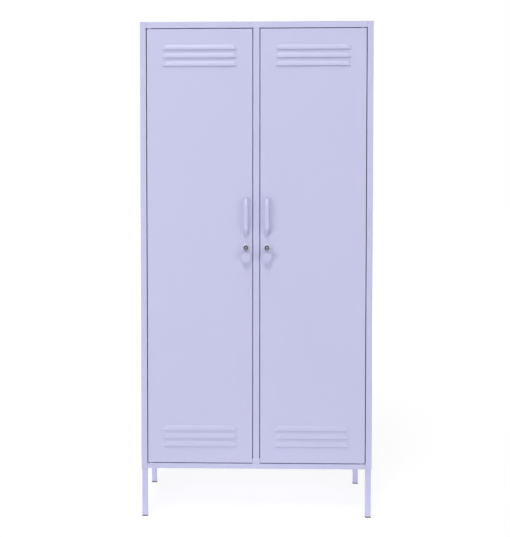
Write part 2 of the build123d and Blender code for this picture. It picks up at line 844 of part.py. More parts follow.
# Key head that folds down in front of the door
with BuildPart() as left_key_head:
    head_plane = Plane.XZ.offset(-key_pivot_y - key_head_thick / 2)
    paddle_drop = key_head_drop - key_head_width / 2
    with BuildSketch(head_plane):
        with Locations(lock_point):
            Rectangle(key_neck_width, key_neck_drop, align=(Align.CENTER, Align.MAX))
        with Locations((pull_x, lock_height - key_neck_drop)):
            Rectangle(key_head_width, paddle_drop - key_neck_drop, align=(Align.CENTER, Align.MAX))
        with Locations((pull_x, lock_height - paddle_drop)):
            Circle(key_head_width / 2)
        with Locations((pull_x, lock_height - key_head_drop + key_ring_margin)):
            Circle(key_ring_radius, mode=Mode.SUBTRACT)
    extrude(amount=key_head_thick)
    with BuildSketch(Plane.YZ.offset(pull_x - key_neck_width / 2)):
        with Locations((key_pivot_y, lock_height)):
            Circle(key_head_thick / 2)
    extrude(amount=key_neck_width)
    slot_half = key_thick / 2 + key_slip
    with BuildSketch(Plane.YZ.offset(pull_x - slot_half)):
        with Locations((key_pivot_y, lock_height)):
            Circle(blade_height + key_slip)
    extrude(amount=2 * slot_half, mode=Mode.SUBTRACT)
    with BuildSketch(Plane.YZ.offset(pull_x - key_neck_width / 2)):
        with Locations((key_pivot_y, lock_height)):
            Circle(key_pin_radius)
    extrude(amount=key_neck_width, mode=Mode.SUBTRACT)
pieces["left_key_head"] = left_key_head

# Pin that joins the key head to its blade
with BuildPart() as left_key_pin:
    with BuildSketch(Plane.YZ.offset(pull_x - key_neck_width / 2)):
        with Locations((key_pivot_y, lock_height)):
            Circle(key_pin_radius)
    extrude(amount=key_neck_width)
pieces["left_key_pin"] = left_key_pin

# The right door, lock and key are the left ones seen in a mirror
left_moving = [
    "door_panel", "door_stiffener", "door_handle", "handle_screws", "lower_hinge_pin", "upper_hinge_pin",
    "lock_housing", "lock_nut", "lock_plug", "lock_cam", "cam_screw", "key_blade", "key_head", "key_pin",
]
for name in left_moving:
    pieces["right_" + name] = mirrored(pieces["left_" + name], Plane.YZ)

# Write one file for each piece
os.makedirs("parts", exist_ok=True)
for name, piece in pieces.items():
    piece.part.label = name
    export_step(piece.part, f"parts/{name}.step")
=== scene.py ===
import json
from math import atan2, hypot, pi, radians, tan

import bmesh
import bpy
from mathutils import Matrix, Vector


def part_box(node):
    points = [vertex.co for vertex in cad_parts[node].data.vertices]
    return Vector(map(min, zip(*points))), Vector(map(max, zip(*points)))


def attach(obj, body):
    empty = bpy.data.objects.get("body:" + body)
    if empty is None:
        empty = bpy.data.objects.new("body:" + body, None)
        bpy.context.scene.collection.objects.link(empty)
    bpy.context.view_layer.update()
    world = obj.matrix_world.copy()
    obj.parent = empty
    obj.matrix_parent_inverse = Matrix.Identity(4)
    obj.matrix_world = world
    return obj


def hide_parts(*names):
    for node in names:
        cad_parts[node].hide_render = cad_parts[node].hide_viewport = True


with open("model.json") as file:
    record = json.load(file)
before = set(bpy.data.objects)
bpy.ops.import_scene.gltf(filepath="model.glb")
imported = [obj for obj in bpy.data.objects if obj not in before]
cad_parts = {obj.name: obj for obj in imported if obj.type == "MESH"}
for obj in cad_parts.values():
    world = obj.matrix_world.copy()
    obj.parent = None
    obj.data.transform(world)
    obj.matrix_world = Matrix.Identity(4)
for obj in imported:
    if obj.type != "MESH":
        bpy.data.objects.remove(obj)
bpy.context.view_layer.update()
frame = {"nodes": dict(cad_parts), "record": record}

scene = bpy.context.scene
mm = 0.001
print("frame loaded:", len(frame["nodes"]), "nodes")


# camera at the photograph's place, solved from the cabinet's own edges
cameraSet = {
    "place": (-0.0583, -4.1296, 1.2754),
    "pitch": 2.4358, "roll": 0.0797, "yaw": 1.7977,  # degrees
    "focalPixels": 1068.56, "imageHigh": 537, "sensor": 36.0,
    "shiftX": 0.0897, "shiftY": -0.0936,
}


def placeCamera():
    lens = bpy.data.cameras.new("photoCamera")
    lens.sensor_width = cameraSet["sensor"]
    lens.lens = cameraSet["focalPixels"] * cameraSet["sensor"] / cameraSet["imageHigh"]
    lens.shift_x = cameraSet["shiftX"]
    lens.shift_y = cameraSet["shiftY"]
    camera = bpy.data.objects.new("photoCamera", lens)
    camera.location = cameraSet["place"]
    tilt = (90 - cameraSet["pitch"], cameraSet["roll"], cameraSet["yaw"])
    camera.rotation_euler = [radians(turn) for turn in tilt]
    scene.collection.objects.link(camera)
    scene.camera = camera


placeCamera()
print("camera placed")


# shader helpers
def addNode(tree, kind, **settings):
    made = tree.nodes.new(kind)
    for key, value in settings.items():
        setattr(made, key, value)
    return made


def newGroup(name, inputs, outputs):
    group = bpy.data.node_groups.new(name, "ShaderNodeTree")
    for title, kind in inputs:
        group.interface.new_socket(title, in_out="INPUT", socket_type=kind)
    for title, kind in outputs:
        group.interface.new_socket(title, in_out="OUTPUT", socket_type=kind)
    return group, group.nodes.new("NodeGroupInput"), group.nodes.new("NodeGroupOutput")


def useGroup(tree, group, **values):
    made = addNode(tree, "ShaderNodeGroup", node_tree=group)
    for title, value in values.items():
        made.inputs[title].default_value = value
    return made


def newFinish(name):
    finish = bpy.data.materials.new(name)
    finish.use_nodes = True
    tree = finish.node_tree
    tree.nodes.clear()
    output = tree.nodes.new("ShaderNodeOutputMaterial")
    surface = tree.nodes.new("ShaderNodeBsdfPrincipled")
    tree.links.new(surface.outputs["BSDF"], output.inputs["Surface"])
    coords = tree.nodes.new("ShaderNodeTexCoord").outputs["Object"]
    return finish, tree, surface, coords


def addBump(tree, surface, height, depth):
    bump = addNode(tree, "ShaderNodeBump")
    bump.inputs["Strength"].default_value = 1.0
    bump.inputs["Distance"].default_value = depth
    tree.links.new(height, bump.inputs["Height"])
    tree.links.new(bump.outputs["Normal"], surface.inputs["Normal"])


# one over a size in metres is the scale of a noise
def sizeToScale(group, size):
    scale = addNode(group, "ShaderNodeMath", operation="DIVIDE")
    scale.inputs[0].default_value = 1.0
    group.links.new(size, scale.inputs[1])
    return scale.outputs[0]


# what the shared effects have in common in every finish
effects = {
    "toneDetail": 3.0, "rippleDetail": 1.0, "swellDetail": 0.0, "sheenDetail": 4.0,
    "swellScale": 0.3, "swellShare": 0.35,
    "sheenFrom": 0.3, "sheenTo": 0.7,  # part of the noise that is spread over the sheen
}


def addNoise(group, vector, detail):
    noise = addNode(group, "ShaderNodeTexNoise")
    noise.inputs["Detail"].default_value = detail
    group.links.new(vector, noise.inputs["Vector"])
    return noise


def mixTints(group, share, first, second):
    mix = addNode(group, "ShaderNodeMix", data_type="RGBA")
    group.links.new(share, mix.inputs["Factor"])
    group.links.new(first, mix.inputs["A"])
    group.links.new(second, mix.inputs["B"])
    return mix.outputs["Result"]


def makeToneDrift():  # slow change from one tint to another
    group, source, result = newGroup(
        "toneDrift",
        [("Vector", "NodeSocketVector"), ("Light", "NodeSocketColor"), ("Deep", "NodeSocketColor"),
         ("Size", "NodeSocketFloat")],
        [("Color", "NodeSocketColor")])
    cloud = addNoise(group, source.outputs["Vector"], effects["toneDetail"])
    group.links.new(sizeToScale(group, source.outputs["Size"]), cloud.inputs["Scale"])
    tint = mixTints(group, cloud.outputs["Fac"], source.outputs["Light"], source.outputs["Deep"])
    group.links.new(tint, result.inputs["Color"])
    return group


def makeToneAbove():  # another tint above a given height
    group, source, result = newGroup(
        "toneAbove",
        [("Vector", "NodeSocketVector"), ("Color", "NodeSocketColor"), ("Upper", "NodeSocketColor"),
         ("Low", "NodeSocketFloat"), ("High", "NodeSocketFloat")],
        [("Color", "NodeSocketColor")])
    parts = addNode(group, "ShaderNodeSeparateXYZ")
    rise = addNode(group, "ShaderNodeMapRange")
    group.links.new(source.outputs["Vector"], parts.inputs["Vector"])
    group.links.new(parts.outputs["Z"], rise.inputs["Value"])
    group.links.new(source.outputs["Low"], rise.inputs["From Min"])
    group.links.new(source.outputs["High"], rise.inputs["From Max"])
    tint = mixTints(group, rise.outputs["Result"], source.outputs["Color"], source.outputs["Upper"])
    group.links.new(tint, result.inputs["Color"])
    return group


def makeCoatPeel():  # the soft ripple of sprayed and baked powder
    group, source, result = newGroup(
        "coatPeel",
        [("Vector", "NodeSocketVector"), ("Size", "NodeSocketFloat")],
        [("Height", "NodeSocketFloat")])
    ripple = addNoise(group, source.outputs["Vector"], effects["rippleDetail"])
    swell = addNoise(group, source.outputs["Vector"], effects["swellDetail"])
    scale = sizeToScale(group, source.outputs["Size"])
    wider = addNode(group, "ShaderNodeMath", operation="MULTIPLY")
    wider.inputs[1].default_value = effects["swellScale"]
    blend = addNode(group, "ShaderNodeMix", data_type="FLOAT")
    blend.inputs["Factor"].default_value = effects["swellShare"]
    group.links.new(scale, ripple.inputs["Scale"])
    group.links.new(scale, wider.inputs[0])
    group.links.new(wider.outputs[0], swell.inputs["Scale"])
    group.links.new(ripple.outputs["Fac"], blend.inputs["A"])
    group.links.new(swell.outputs["Fac"], blend.inputs["B"])
    group.links.new(blend.outputs["Result"], result.inputs["Height"])
    return group


def makeSheenDrift():  # patches that are a little duller or brighter than their neighbours
    group, source, result = newGroup(
        "sheenDrift",
        [("Vector", "NodeSocketVector"), ("Low", "NodeSocketFloat"), ("High", "NodeSocketFloat"),
         ("Size", "NodeSocketFloat")],
        [("Roughness", "NodeSocketFloat")])
    patch = addNoise(group, source.outputs["Vector"], effects["sheenDetail"])
    spread = addNode(group, "ShaderNodeMapRange")
    spread.inputs["From Min"].default_value = effects["sheenFrom"]
    spread.inputs["From Max"].default_value = effects["sheenTo"]
    group.links.new(sizeToScale(group, source.outputs["Size"]), patch.inputs["Scale"])
    group.links.new(patch.outputs["Fac"], spread.inputs["Value"])
    group.links.new(source.outputs["Low"], spread.inputs["To Min"])
    group.links.new(source.outputs["High"], spread.inputs["To Max"])
    group.links.new(spread.outputs["Result"], result.inputs["Roughness"])
    return group


toneDrift = makeToneDrift()
toneAbove = makeToneAbove()
coatPeel = makeCoatPeel()
sheenDrift = makeSheenDrift()


# a finish from its two tints, its sheen and its surface grain
def makeFinish(name, recipe):
    finish, tree, surface, coords = newFinish(name)
    tone = useGroup(tree, toneDrift, Light=(*recipe["light"], 1), Deep=(*recipe["deep"], 1),
                    Size=recipe["toneSize"])
    bright, dull = recipe["sheen"]
    sheen = useGroup(tree, sheenDrift, Low=bright, High=dull, Size=recipe["sheenSize"])
    grain = useGroup(tree, coatPeel, Size=recipe["grainSize"])
    for group in (tone, sheen, grain):
        tree.links.new(coords, group.inputs["Vector"])
    tint = tone.outputs["Color"]
    if "upper" in recipe:
        start, end = recipe["upperFrom"]
        neck = useGroup(tree, toneAbove, Upper=(*recipe["upper"], 1), Low=start, High=end)
        tree.links.new(coords, neck.inputs["Vector"])
        tree.links.new(tint, neck.inputs["Color"])
        tint = neck.outputs["Color"]
    tree.links.new(tint, surface.inputs["Base Color"])
    tree.links.new(sheen.outputs["Roughness"], surface.inputs["Roughness"])
    addBump(tree, surface, grain.outputs["Height"], recipe["grainDepth"])
    surface.inputs["Metallic"].default_value = recipe["metal"]
    return finish


# the key's neck turns darker above its shoulder
keyNeck = {"drop": 22 * mm, "fade": 9 * mm}
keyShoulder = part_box("left_key_head")[1].z - keyNeck["drop"]
finishRecipes = {
    "body_paint": {
        "light": (0.545, 0.543, 0.770), "deep": (0.528, 0.528, 0.752), "toneSize": 0.25,
        "sheen": (0.30, 0.40), "sheenSize": 0.03,
        "grainSize": 1.6 * mm, "grainDepth": 0.03 * mm, "metal": 0.0},
    "chrome": {
        "light": (0.78, 0.78, 0.80), "deep": (0.70, 0.70, 0.73), "toneSize": 0.02,
        "sheen": (0.10, 0.22), "sheenSize": 0.004,
        "grainSize": 0.6 * mm, "grainDepth": 0.004 * mm, "metal": 1.0},
    "bezel_nickel": {
        "light": (0.56, 0.56, 0.64), "deep": (0.47, 0.47, 0.55), "toneSize": 0.006,
        "sheen": (0.36, 0.46), "sheenSize": 0.003,
        "grainSize": 0.5 * mm, "grainDepth": 0.008 * mm, "metal": 1.0},
    "lock_face": {
        "light": (0.145, 0.145, 0.180), "deep": (0.095, 0.095, 0.122), "toneSize": 0.004,
        "sheen": (0.38, 0.52), "sheenSize": 0.003,
        "grainSize": 0.4 * mm, "grainDepth": 0.01 * mm, "metal": 0.7},
    "steel": {
        "light": (0.44, 0.44, 0.49), "deep": (0.33, 0.33, 0.38), "toneSize": 0.006,
        "sheen": (0.30, 0.46), "sheenSize": 0.005,
        "grainSize": 0.8 * mm, "grainDepth": 0.01 * mm, "metal": 1.0},
    "foot_plastic": {
        "light": (0.060, 0.060, 0.068), "deep": (0.045, 0.045, 0.052), "toneSize": 0.01,
        "sheen": (0.50, 0.65), "sheenSize": 0.004,
        "grainSize": 0.5 * mm, "grainDepth": 0.03 * mm, "metal": 0.0},
    "white_nylon": {
        "light": (0.66, 0.66, 0.70), "deep": (0.60, 0.60, 0.65), "toneSize": 0.008,
        "sheen": (0.38, 0.48), "sheenSize": 0.004,
        "grainSize": 0.5 * mm, "grainDepth": 0.01 * mm, "metal": 0.0},
    "magnet": {
        "light": (0.075, 0.073, 0.075), "deep": (0.045, 0.045, 0.048), "toneSize": 0.003,
        "sheen": (0.55, 0.75), "sheenSize": 0.002,
        "grainSize": 0.4 * mm, "grainDepth": 0.03 * mm, "metal": 0.0},
    "buffer_rubber": {
        "light": (0.50, 0.50, 0.52), "deep": (0.44, 0.44, 0.46), "toneSize": 0.004,
        "sheen": (0.60, 0.75), "sheenSize": 0.003,
        "grainSize": 0.5 * mm, "grainDepth": 0.01 * mm, "metal": 0.0},
    "key_plastic": {
        "light": (0.525, 0.523, 0.745), "deep": (0.505, 0.505, 0.725), "toneSize": 0.02,
        "upper": (0.20, 0.20, 0.24), "upperFrom": (keyShoulder, keyShoulder + keyNeck["fade"]),
        "sheen": (0.36, 0.46), "sheenSize": 0.005,
        "grainSize": 0.5 * mm, "grainDepth": 0.01 * mm, "metal": 0.0},
}
finishes = {slot: makeFinish(slot, recipe) for slot, recipe in finishRecipes.items()}
for part in frame["record"]["subparts"]:
    for slot in frame["nodes"][part["node"]].material_slots:
        slot.material = finishes[part["material_slot"]]
print("finishes made:", len(finishes))


# mesh helpers
gridHalf = 0.5  # a grid of this size is one metre wide, so its scale is its width
sharpTurn = 40  # degrees between faces that stay a crisp edge


def onlyEdges(items):
    return [item for item in items if isinstance(item, bmesh.types.BMEdge)]


def onlyVerts(items):
    return [item for item in items if isinstance(item, bmesh.types.BMVert)]


def loopVerts(loop):
    return list({vert for edge in loop for vert in edge.verts})


def drawLoop(bm, points):
    corners = [bm.verts.new(point) for point in points]
    for corner, following in zip(corners, corners[1:] + corners[:1]):
        bm.edges.new((corner, following))
    return corners


def roundCorners(bm, corners, offset, segments):
    bmesh.ops.bevel(bm, geom=corners, offset=offset, segments=segments, profile=0.5,
                    affect="VERTICES", material=-1)


def roundEdges(bm, edges, offset, segments):
    bmesh.ops.bevel(bm, geom=edges, offset=offset, segments=segments, profile=0.5,
                    affect="EDGES", material=-1)


def extrudeLoop(bm, loop, move=(0, 0, 0)):
    made = bmesh.ops.extrude_edge_only(bm, edges=loop)["geom"]
    fresh = onlyVerts(made)
    bmesh.ops.translate(bm, verts=fresh, vec=move)
    return [edge for edge in onlyEdges(made) if all(vert in fresh for vert in edge.verts)]


def spinLoop(bm, loop, centre, axis, angle, steps):
    made = bmesh.ops.spin(bm, geom=loopVerts(loop) + loop, cent=centre, axis=axis, angle=angle,
                          steps=steps)
    return onlyEdges(made["geom_last"])


def mirrorWhole(bm, plane, axis, weld):
    whole = bm.verts[:] + bm.edges[:] + bm.faces[:]
    bmesh.ops.mirror(bm, geom=whole, matrix=plane, merge_dist=weld, axis=axis)
    bmesh.ops.remove_doubles(bm, verts=bm.verts, dist=weld)


def growLoop(bm, loop, centre, scaleX, scaleZ):
    space = Matrix.Translation(-centre)
    bmesh.ops.scale(bm, vec=(scaleX, 1, scaleZ), space=space, verts=loopVerts(loop))


def facingFront(place):  # stands a flat shape up at a place
    return Matrix.Translation(place) @ Matrix.Rotation(pi / 2, 4, "X")


def roundHole(bm, x, y, z, radius, segments):
    turn = facingFront((x, y, z))
    ring = bmesh.ops.create_circle(bm, segments=segments, radius=radius, matrix=turn)["verts"]
    return list({edge for vert in ring for edge in vert.link_edges})


def finishPiece(name, bm, slot, body, nodes, onRight=False, sharp=sharpTurn):
    if onRight:
        bmesh.ops.scale(bm, vec=(-1, 1, 1), verts=bm.verts)
        bmesh.ops.reverse_faces(bm, faces=bm.faces)
    mesh = bpy.data.meshes.new(name)
    bm.to_mesh(mesh)
    bm.free()
    mesh.shade_smooth()
    mesh.set_sharp_from_angle(angle=radians(sharp))
    mesh.materials.append(finishes[slot])
    piece = bpy.data.objects.new(name, mesh)
    scene.collection.objects.link(piece)
    evenShade = piece.modifiers.new("evenShade", "WEIGHTED_NORMAL")
    evenShade.keep_sharp = True
    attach(piece, body)
    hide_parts(*nodes)


# pressed louvre: a quarter ellipse drawn along the slot and spun round at its ends
louvre = {
    "length": 272 * mm, "rise": 17 * mm, "reach": 4.5 * mm, "pitch": 29.6 * mm, "count": 3,
    "topMargin": 58 * mm, "lowMargin": 62 * mm,
    "rim": 2.5 * mm, "rootRound": 0.5 * mm, "rootSteps": 3, "steps": 12, "weld": 0.001 * mm,
}


def louvreShape():
    bm = bmesh.new()
    straight = louvre["length"] / 2 - louvre["rise"]
    root = bm.verts.new((straight, 0, 1))
    bmesh.ops.spin(bm, geom=[root], cent=(straight, 0, 0), axis=(1, 0, 0), angle=pi / 2,
                   steps=louvre["steps"])
    bmesh.ops.scale(bm, vec=(1, louvre["reach"], louvre["rise"]), verts=bm.verts)
    rim = bmesh.ops.extrude_vert_indiv(bm, verts=[root])["verts"]
    bmesh.ops.translate(bm, verts=rim, vec=(0, 0, louvre["rim"]))
    roundCorners(bm, [root], louvre["rootRound"], louvre["rootSteps"])
    outline = bm.edges[:]
    extrudeLoop(bm, outline, (-straight, 0, 0))
    spinLoop(bm, outline, (straight, 0, 0), (0, 1, 0), pi / 2, louvre["steps"])
    mirrorWhole(bm, Matrix(), "X", louvre["weld"])
    shape = bpy.data.meshes.new("louvreShape")
    bm.to_mesh(shape)
    bm.free()
    return shape


# puts one louvre on the skin and gives the edges of the hole that it needs there
def addLouvre(bm, shape, x, y, z):
    before = len(bm.verts)
    bm.from_mesh(shape)
    bm.verts.ensure_lookup_table()
    fresh = bm.verts[before:]
    bmesh.ops.translate(bm, verts=fresh, vec=(x, y, z))
    onSkin = {vert for vert in fresh if abs(vert.co.y - y) < louvre["weld"]}
    edges = {edge for vert in onSkin for edge in vert.link_edges if edge.is_boundary}
    hole = [edge for edge in edges if all(vert in onSkin for vert in edge.verts)]
    low = [vert for vert in onSkin if abs(vert.co.z - z) < louvre["weld"]]
    low.sort(key=lambda vert: abs(vert.co.x - x))
    return hole + [bm.edges.new(low[:2])]


# door pan: louvred skin, folded walls and lips, then the sheet's thickness
door = {
    "depth": 18 * mm, "lip": 9 * mm, "fold": 1.6 * mm, "foldSteps": 4, "wall": 0.8 * mm,
    "border": 12 * mm, "sharp": 50,  # degrees
    "lockHole": 11.1 * mm, "lockSteps": 32, "screwHole": 2.1 * mm, "screwSteps": 16,
}


def makeDoor(name, body, nodes, shape, onRight):
    lowest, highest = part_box("left_door_panel")
    skin = lowest.y + louvre["reach"]
    middle = (lowest + highest) / 2
    middle.y = skin
    wide, tall = highest.x - lowest.x, highest.z - lowest.z
    flatWide, flatTall = wide - 2 * door["border"], tall - 2 * door["border"]
    bm = bmesh.new()
    turn = facingFront(middle)
    bmesh.ops.create_grid(bm, x_segments=1, y_segments=1, size=gridHalf, matrix=turn)
    bmesh.ops.delete(bm, geom=bm.faces[:], context="FACES_ONLY")
    border = bm.edges[:]
    growLoop(bm, border, middle, flatWide, flatTall)
    holes = []
    topLevel = highest.z - louvre["topMargin"] - louvre["rise"]
    lowLevel = lowest.z + louvre["lowMargin"]
    for row in range(louvre["count"]):
        step = row * louvre["pitch"]
        for level in (topLevel - step, lowLevel + step):
            holes += addLouvre(bm, shape, middle.x, skin, level)
    lockLow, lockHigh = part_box("left_lock_housing")
    lockPoint = (lockLow + lockHigh) / 2
    holes += roundHole(bm, lockPoint.x, skin, lockPoint.z, door["lockHole"], door["lockSteps"])
    screwLow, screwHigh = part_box("left_handle_screws")
    screwSide = (screwHigh.x - screwLow.x) / 2
    for level in (screwLow.z + screwSide, screwHigh.z - screwSide):
        holes += roundHole(bm, lockPoint.x, skin, level, door["screwHole"], door["screwSteps"])
    bmesh.ops.triangle_fill(bm, use_beauty=True, edges=border + holes, normal=(0, -1, 0))
    rim = extrudeLoop(bm, border)
    growLoop(bm, rim, middle, wide / flatWide, tall / flatTall)
    backRim = extrudeLoop(bm, rim, (0, door["depth"], 0))
    lip = extrudeLoop(bm, backRim)
    growLoop(bm, lip, middle, 1 - 2 * door["lip"] / wide, 1 - 2 * door["lip"] / tall)
    rimVerts, backVerts = set(loopVerts(rim)), set(loopVerts(backRim))
    cornerFolds = [edge for vert in rimVerts for edge in vert.link_edges
                   if edge.other_vert(vert) in backVerts]
    roundEdges(bm, rim + backRim + cornerFolds, door["fold"], door["foldSteps"])
    bmesh.ops.recalc_face_normals(bm, faces=bm.faces)
    bmesh.ops.solidify(bm, geom=bm.faces[:], thickness=door["wall"])
    finishPiece(name, bm, "body_paint", body, nodes, onRight, sharp=door["sharp"])


louvreMesh = louvreShape()
for side in ("left", "right"):
    makeDoor(side + "DoorPan", side + "_door", [side + "_door_panel"], louvreMesh, side == "right")
print("doors made")


# bow handle: a rounded bar taken through two bends to its middle, then mirrored
handle = {
    "wide": 15 * mm, "thick": 8 * mm, "corner": 3.5 * mm, "cornerSteps": 5,
    "footRise": 9 * mm, "footBend": 8 * mm, "bowBend": 14 * mm, "bendSteps": 10,
    "flat": 92 * mm, "weld": 0.01 * mm,
}


def makeHandle(name, body, nodes, onRight):
    lowest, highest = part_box("left_door_handle")
    skin = highest.y
    middleX, middleZ = (lowest.x + highest.x) / 2, (lowest.z + highest.z) / 2
    screwLow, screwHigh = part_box("left_handle_screws")
    footZ = screwLow.z + (screwHigh.x - screwLow.x) / 2
    footBend, bowBend = handle["footBend"], handle["bowBend"]
    runOut = skin - lowest.y - handle["thick"] / 2 - handle["footRise"]
    runUp = middleZ - handle["flat"] / 2 - footZ
    lean = atan2(runUp, runOut)
    bowTurn = pi / 2 - lean
    footCut, bowCut = footBend * tan(lean / 2), bowBend * tan(bowTurn / 2)
    slope = hypot(runOut, runUp) - footCut - bowCut
    bm = bmesh.new()
    footMiddle = Vector((middleX, skin, footZ))
    turn = facingFront(footMiddle)
    section = bmesh.ops.create_grid(bm, x_segments=1, y_segments=1, size=gridHalf, matrix=turn)
    growLoop(bm, bm.edges[:], footMiddle, handle["wide"], handle["thick"])
    roundCorners(bm, section["verts"], handle["corner"], handle["cornerSteps"])
    loop = extrudeLoop(bm, bm.edges[:], (0, footCut - handle["footRise"], 0))
    heading = Vector((0, -1, 0))
    place = Vector((middleX, skin + footCut - handle["footRise"], footZ))
    for bend, angle, run in ((footBend, lean, slope), (bowBend, bowTurn, None)):
        toCentre = Matrix.Rotation(-pi / 2, 3, "X") @ heading
        centre = place + bend * toCentre
        loop = spinLoop(bm, loop, centre, (1, 0, 0), -angle, handle["bendSteps"])
        swing = Matrix.Rotation(-angle, 3, "X")
        place = centre + swing @ (place - centre)
        heading = swing @ heading
        run = middleZ - place.z if run is None else run  # the last run ends at the middle
        loop = extrudeLoop(bm, loop, heading * run)
        place = place + heading * run
    mirrorWhole(bm, Matrix.Translation((0, 0, -middleZ)), "Z", handle["weld"])
    bmesh.ops.recalc_face_normals(bm, faces=bm.faces)
    finishPiece(name, bm, "body_paint", body, nodes, onRight)


for side in ("left", "right"):
    makeHandle(side + "BowHandle", side + "_door", [side + "_door_handle"], side == "right")
print("handles made")


# lock housing: bezel and barrel turned in one profile about the lock's middle
lock = {
    "bezel": 12.5 * mm, "bezelReach": 5 * mm, "bezelRound": 2 * mm, "barrel": 11 * mm,
    "bore": 9.05 * mm, "boreRound": 0.4 * mm, "roundSteps": 4, "steps": 56, "weld": 0.001 * mm,
}


def makeLock(name, body, nodes, onRight):
    lowest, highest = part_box("left_lock_housing")
    middle = (lowest + highest) / 2
    skin = lowest.y + lock["bezelReach"]
    profile = ((lock["bore"], lowest.y), (lock["bezel"], lowest.y), (lock["bezel"], skin),
               (lock["barrel"], skin), (lock["barrel"], highest.y), (lock["bore"], highest.y))
    bm = bmesh.new()
    points = [(middle.x + radius, depth, middle.z) for radius, depth in profile]
    corners = drawLoop(bm, points)
    roundCorners(bm, corners[:1], lock["boreRound"], lock["roundSteps"])
    roundCorners(bm, corners[1:2], lock["bezelRound"], lock["roundSteps"])
    bmesh.ops.spin(bm, geom=bm.verts[:] + bm.edges[:], cent=middle, axis=(0, 1, 0),
                   angle=2 * pi, steps=lock["steps"], use_merge=True)
    bmesh.ops.remove_doubles(bm, verts=bm.verts, dist=lock["weld"])
    bmesh.ops.recalc_face_normals(bm, faces=bm.faces)
    finishPiece(name, bm, "bezel_nickel", body, nodes, onRight)


# key head: a moulded grip with a forked neck and a hole for a ring
keyHead = {
    "neckWide": 5 * mm, "neckDrop": 19 * mm, "slot": 2.6 * mm, "slotDrop": 9.1 * mm,
    "pivotDrop": 3.0 * mm, "ringHole": 2.5 * mm, "ringMargin": 7 * mm, "holeSteps": 24,
    "shoulder": 3.5 * mm, "shoulderSteps": 5, "roundSteps": 14, "spare": 0.05 * mm,
    "rim": 0.9 * mm, "rimSteps": 3, "rimTurn": 1.0,  # radians
}


def makeKeyHead(name, body, nodes, onRight):
    lowest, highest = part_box("left_key_head")
    middle = (lowest + highest) / 2
    pivot = highest.z - keyHead["pivotDrop"]
    shoulder = pivot - keyHead["neckDrop"]
    slot, neck, grip = keyHead["slot"] / 2, keyHead["neckWide"] / 2, highest.x - middle.x
    half = [(slot, pivot - keyHead["slotDrop"]), (slot, highest.z), (neck, highest.z),
            (neck, shoulder), (grip, shoulder), (grip, lowest.z)]
    outline = half + [(-x, z) for x, z in reversed(half)]
    bm = bmesh.new()
    corners = drawLoop(bm, [(middle.x + x, lowest.y, z) for x, z in outline])
    roundCorners(bm, [corners[5], corners[6]], grip - keyHead["spare"], keyHead["roundSteps"])
    shoulders = [corner for corner in corners[4:8] if corner.is_valid]
    roundCorners(bm, shoulders, keyHead["shoulder"], keyHead["shoulderSteps"])
    ringZ = lowest.z + keyHead["ringMargin"]
    roundHole(bm, middle.x, lowest.y, ringZ, keyHead["ringHole"], keyHead["holeSteps"])
    bmesh.ops.triangle_fill(bm, use_beauty=True, edges=bm.edges[:], normal=(0, -1, 0))
    made = bmesh.ops.extrude_face_region(bm, geom=bm.faces[:], use_keep_orig=True)["geom"]
    bmesh.ops.translate(bm, verts=onlyVerts(made), vec=(0, highest.y - lowest.y, 0))
    bmesh.ops.recalc_face_normals(bm, faces=bm.faces)
    turned = [edge for edge in bm.edges if edge.calc_face_angle(0) > keyHead["rimTurn"]]
    rims = [edge for edge in turned
            if abs(edge.verts[0].co.y - edge.verts[1].co.y) < keyHead["spare"]]
    bmesh.ops.bevel(bm, geom=rims, offset=keyHead["rim"], segments=keyHead["rimSteps"],
                    profile=0.5, affect="EDGES", clamp_overlap=True, material=-1)
    finishPiece(name, bm, "key_plastic", body, nodes, onRight)


for side in ("left", "right"):
    makeLock(side + "LockBezel", side + "_door", [side + "_lock_housing"], side == "right")
    makeKeyHead(side + "KeyGrip", side + "_key", [side + "_key_head"], side == "right")
print("locks and keys made")


# feet: a cap under each leg, with the plug that goes up into the tube
foot = {
    "plug": 14 * mm, "plugInset": 2.2 * mm, "corner": 2 * mm, "cornerSteps": 4,
    "rim": 0.8 * mm, "rimSteps": 3, "levelFace": 0.9,  # least upward part of the top's normal
}


def makeFoot(name, node):
    lowest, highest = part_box(node)
    capTop = highest.z - foot["plug"]
    size = Vector((highest.x - lowest.x, highest.y - lowest.y, capTop - lowest.z))
    place = Matrix.Translation(lowest + size / 2) @ Matrix.Diagonal((*size, 1))
    bm = bmesh.new()
    bmesh.ops.create_cube(bm, size=1, matrix=place)
    uprights = [edge for edge in bm.edges
                if abs(edge.verts[0].co.z - edge.verts[1].co.z) > size.z / 2]
    roundEdges(bm, uprights, foot["corner"], foot["cornerSteps"])
    halfway = lowest.z + size.z / 2
    sole = [edge for edge in bm.edges if all(vert.co.z < halfway for vert in edge.verts)]
    roundEdges(bm, sole, foot["rim"], foot["rimSteps"])
    top = [face for face in bm.faces if face.normal.z > foot["levelFace"]]
    bmesh.ops.inset_region(bm, faces=top, thickness=foot["plugInset"])
    raised = bmesh.ops.extrude_face_region(bm, geom=top)["geom"]
    bmesh.ops.translate(bm, verts=onlyVerts(raised), vec=(0, 0, foot["plug"]))
    bmesh.ops.delete(bm, geom=top, context="FACES")
    bmesh.ops.recalc_face_normals(bm, faces=bm.faces)
    finishPiece(name, bm, "foot_plastic", "cabinet", [node])


for depth in ("front", "rear"):
    for side in ("Left", "Right"):
        makeFoot(depth + side + "Foot", "foot_" + depth + "_" + side.lower())
print("feet made")


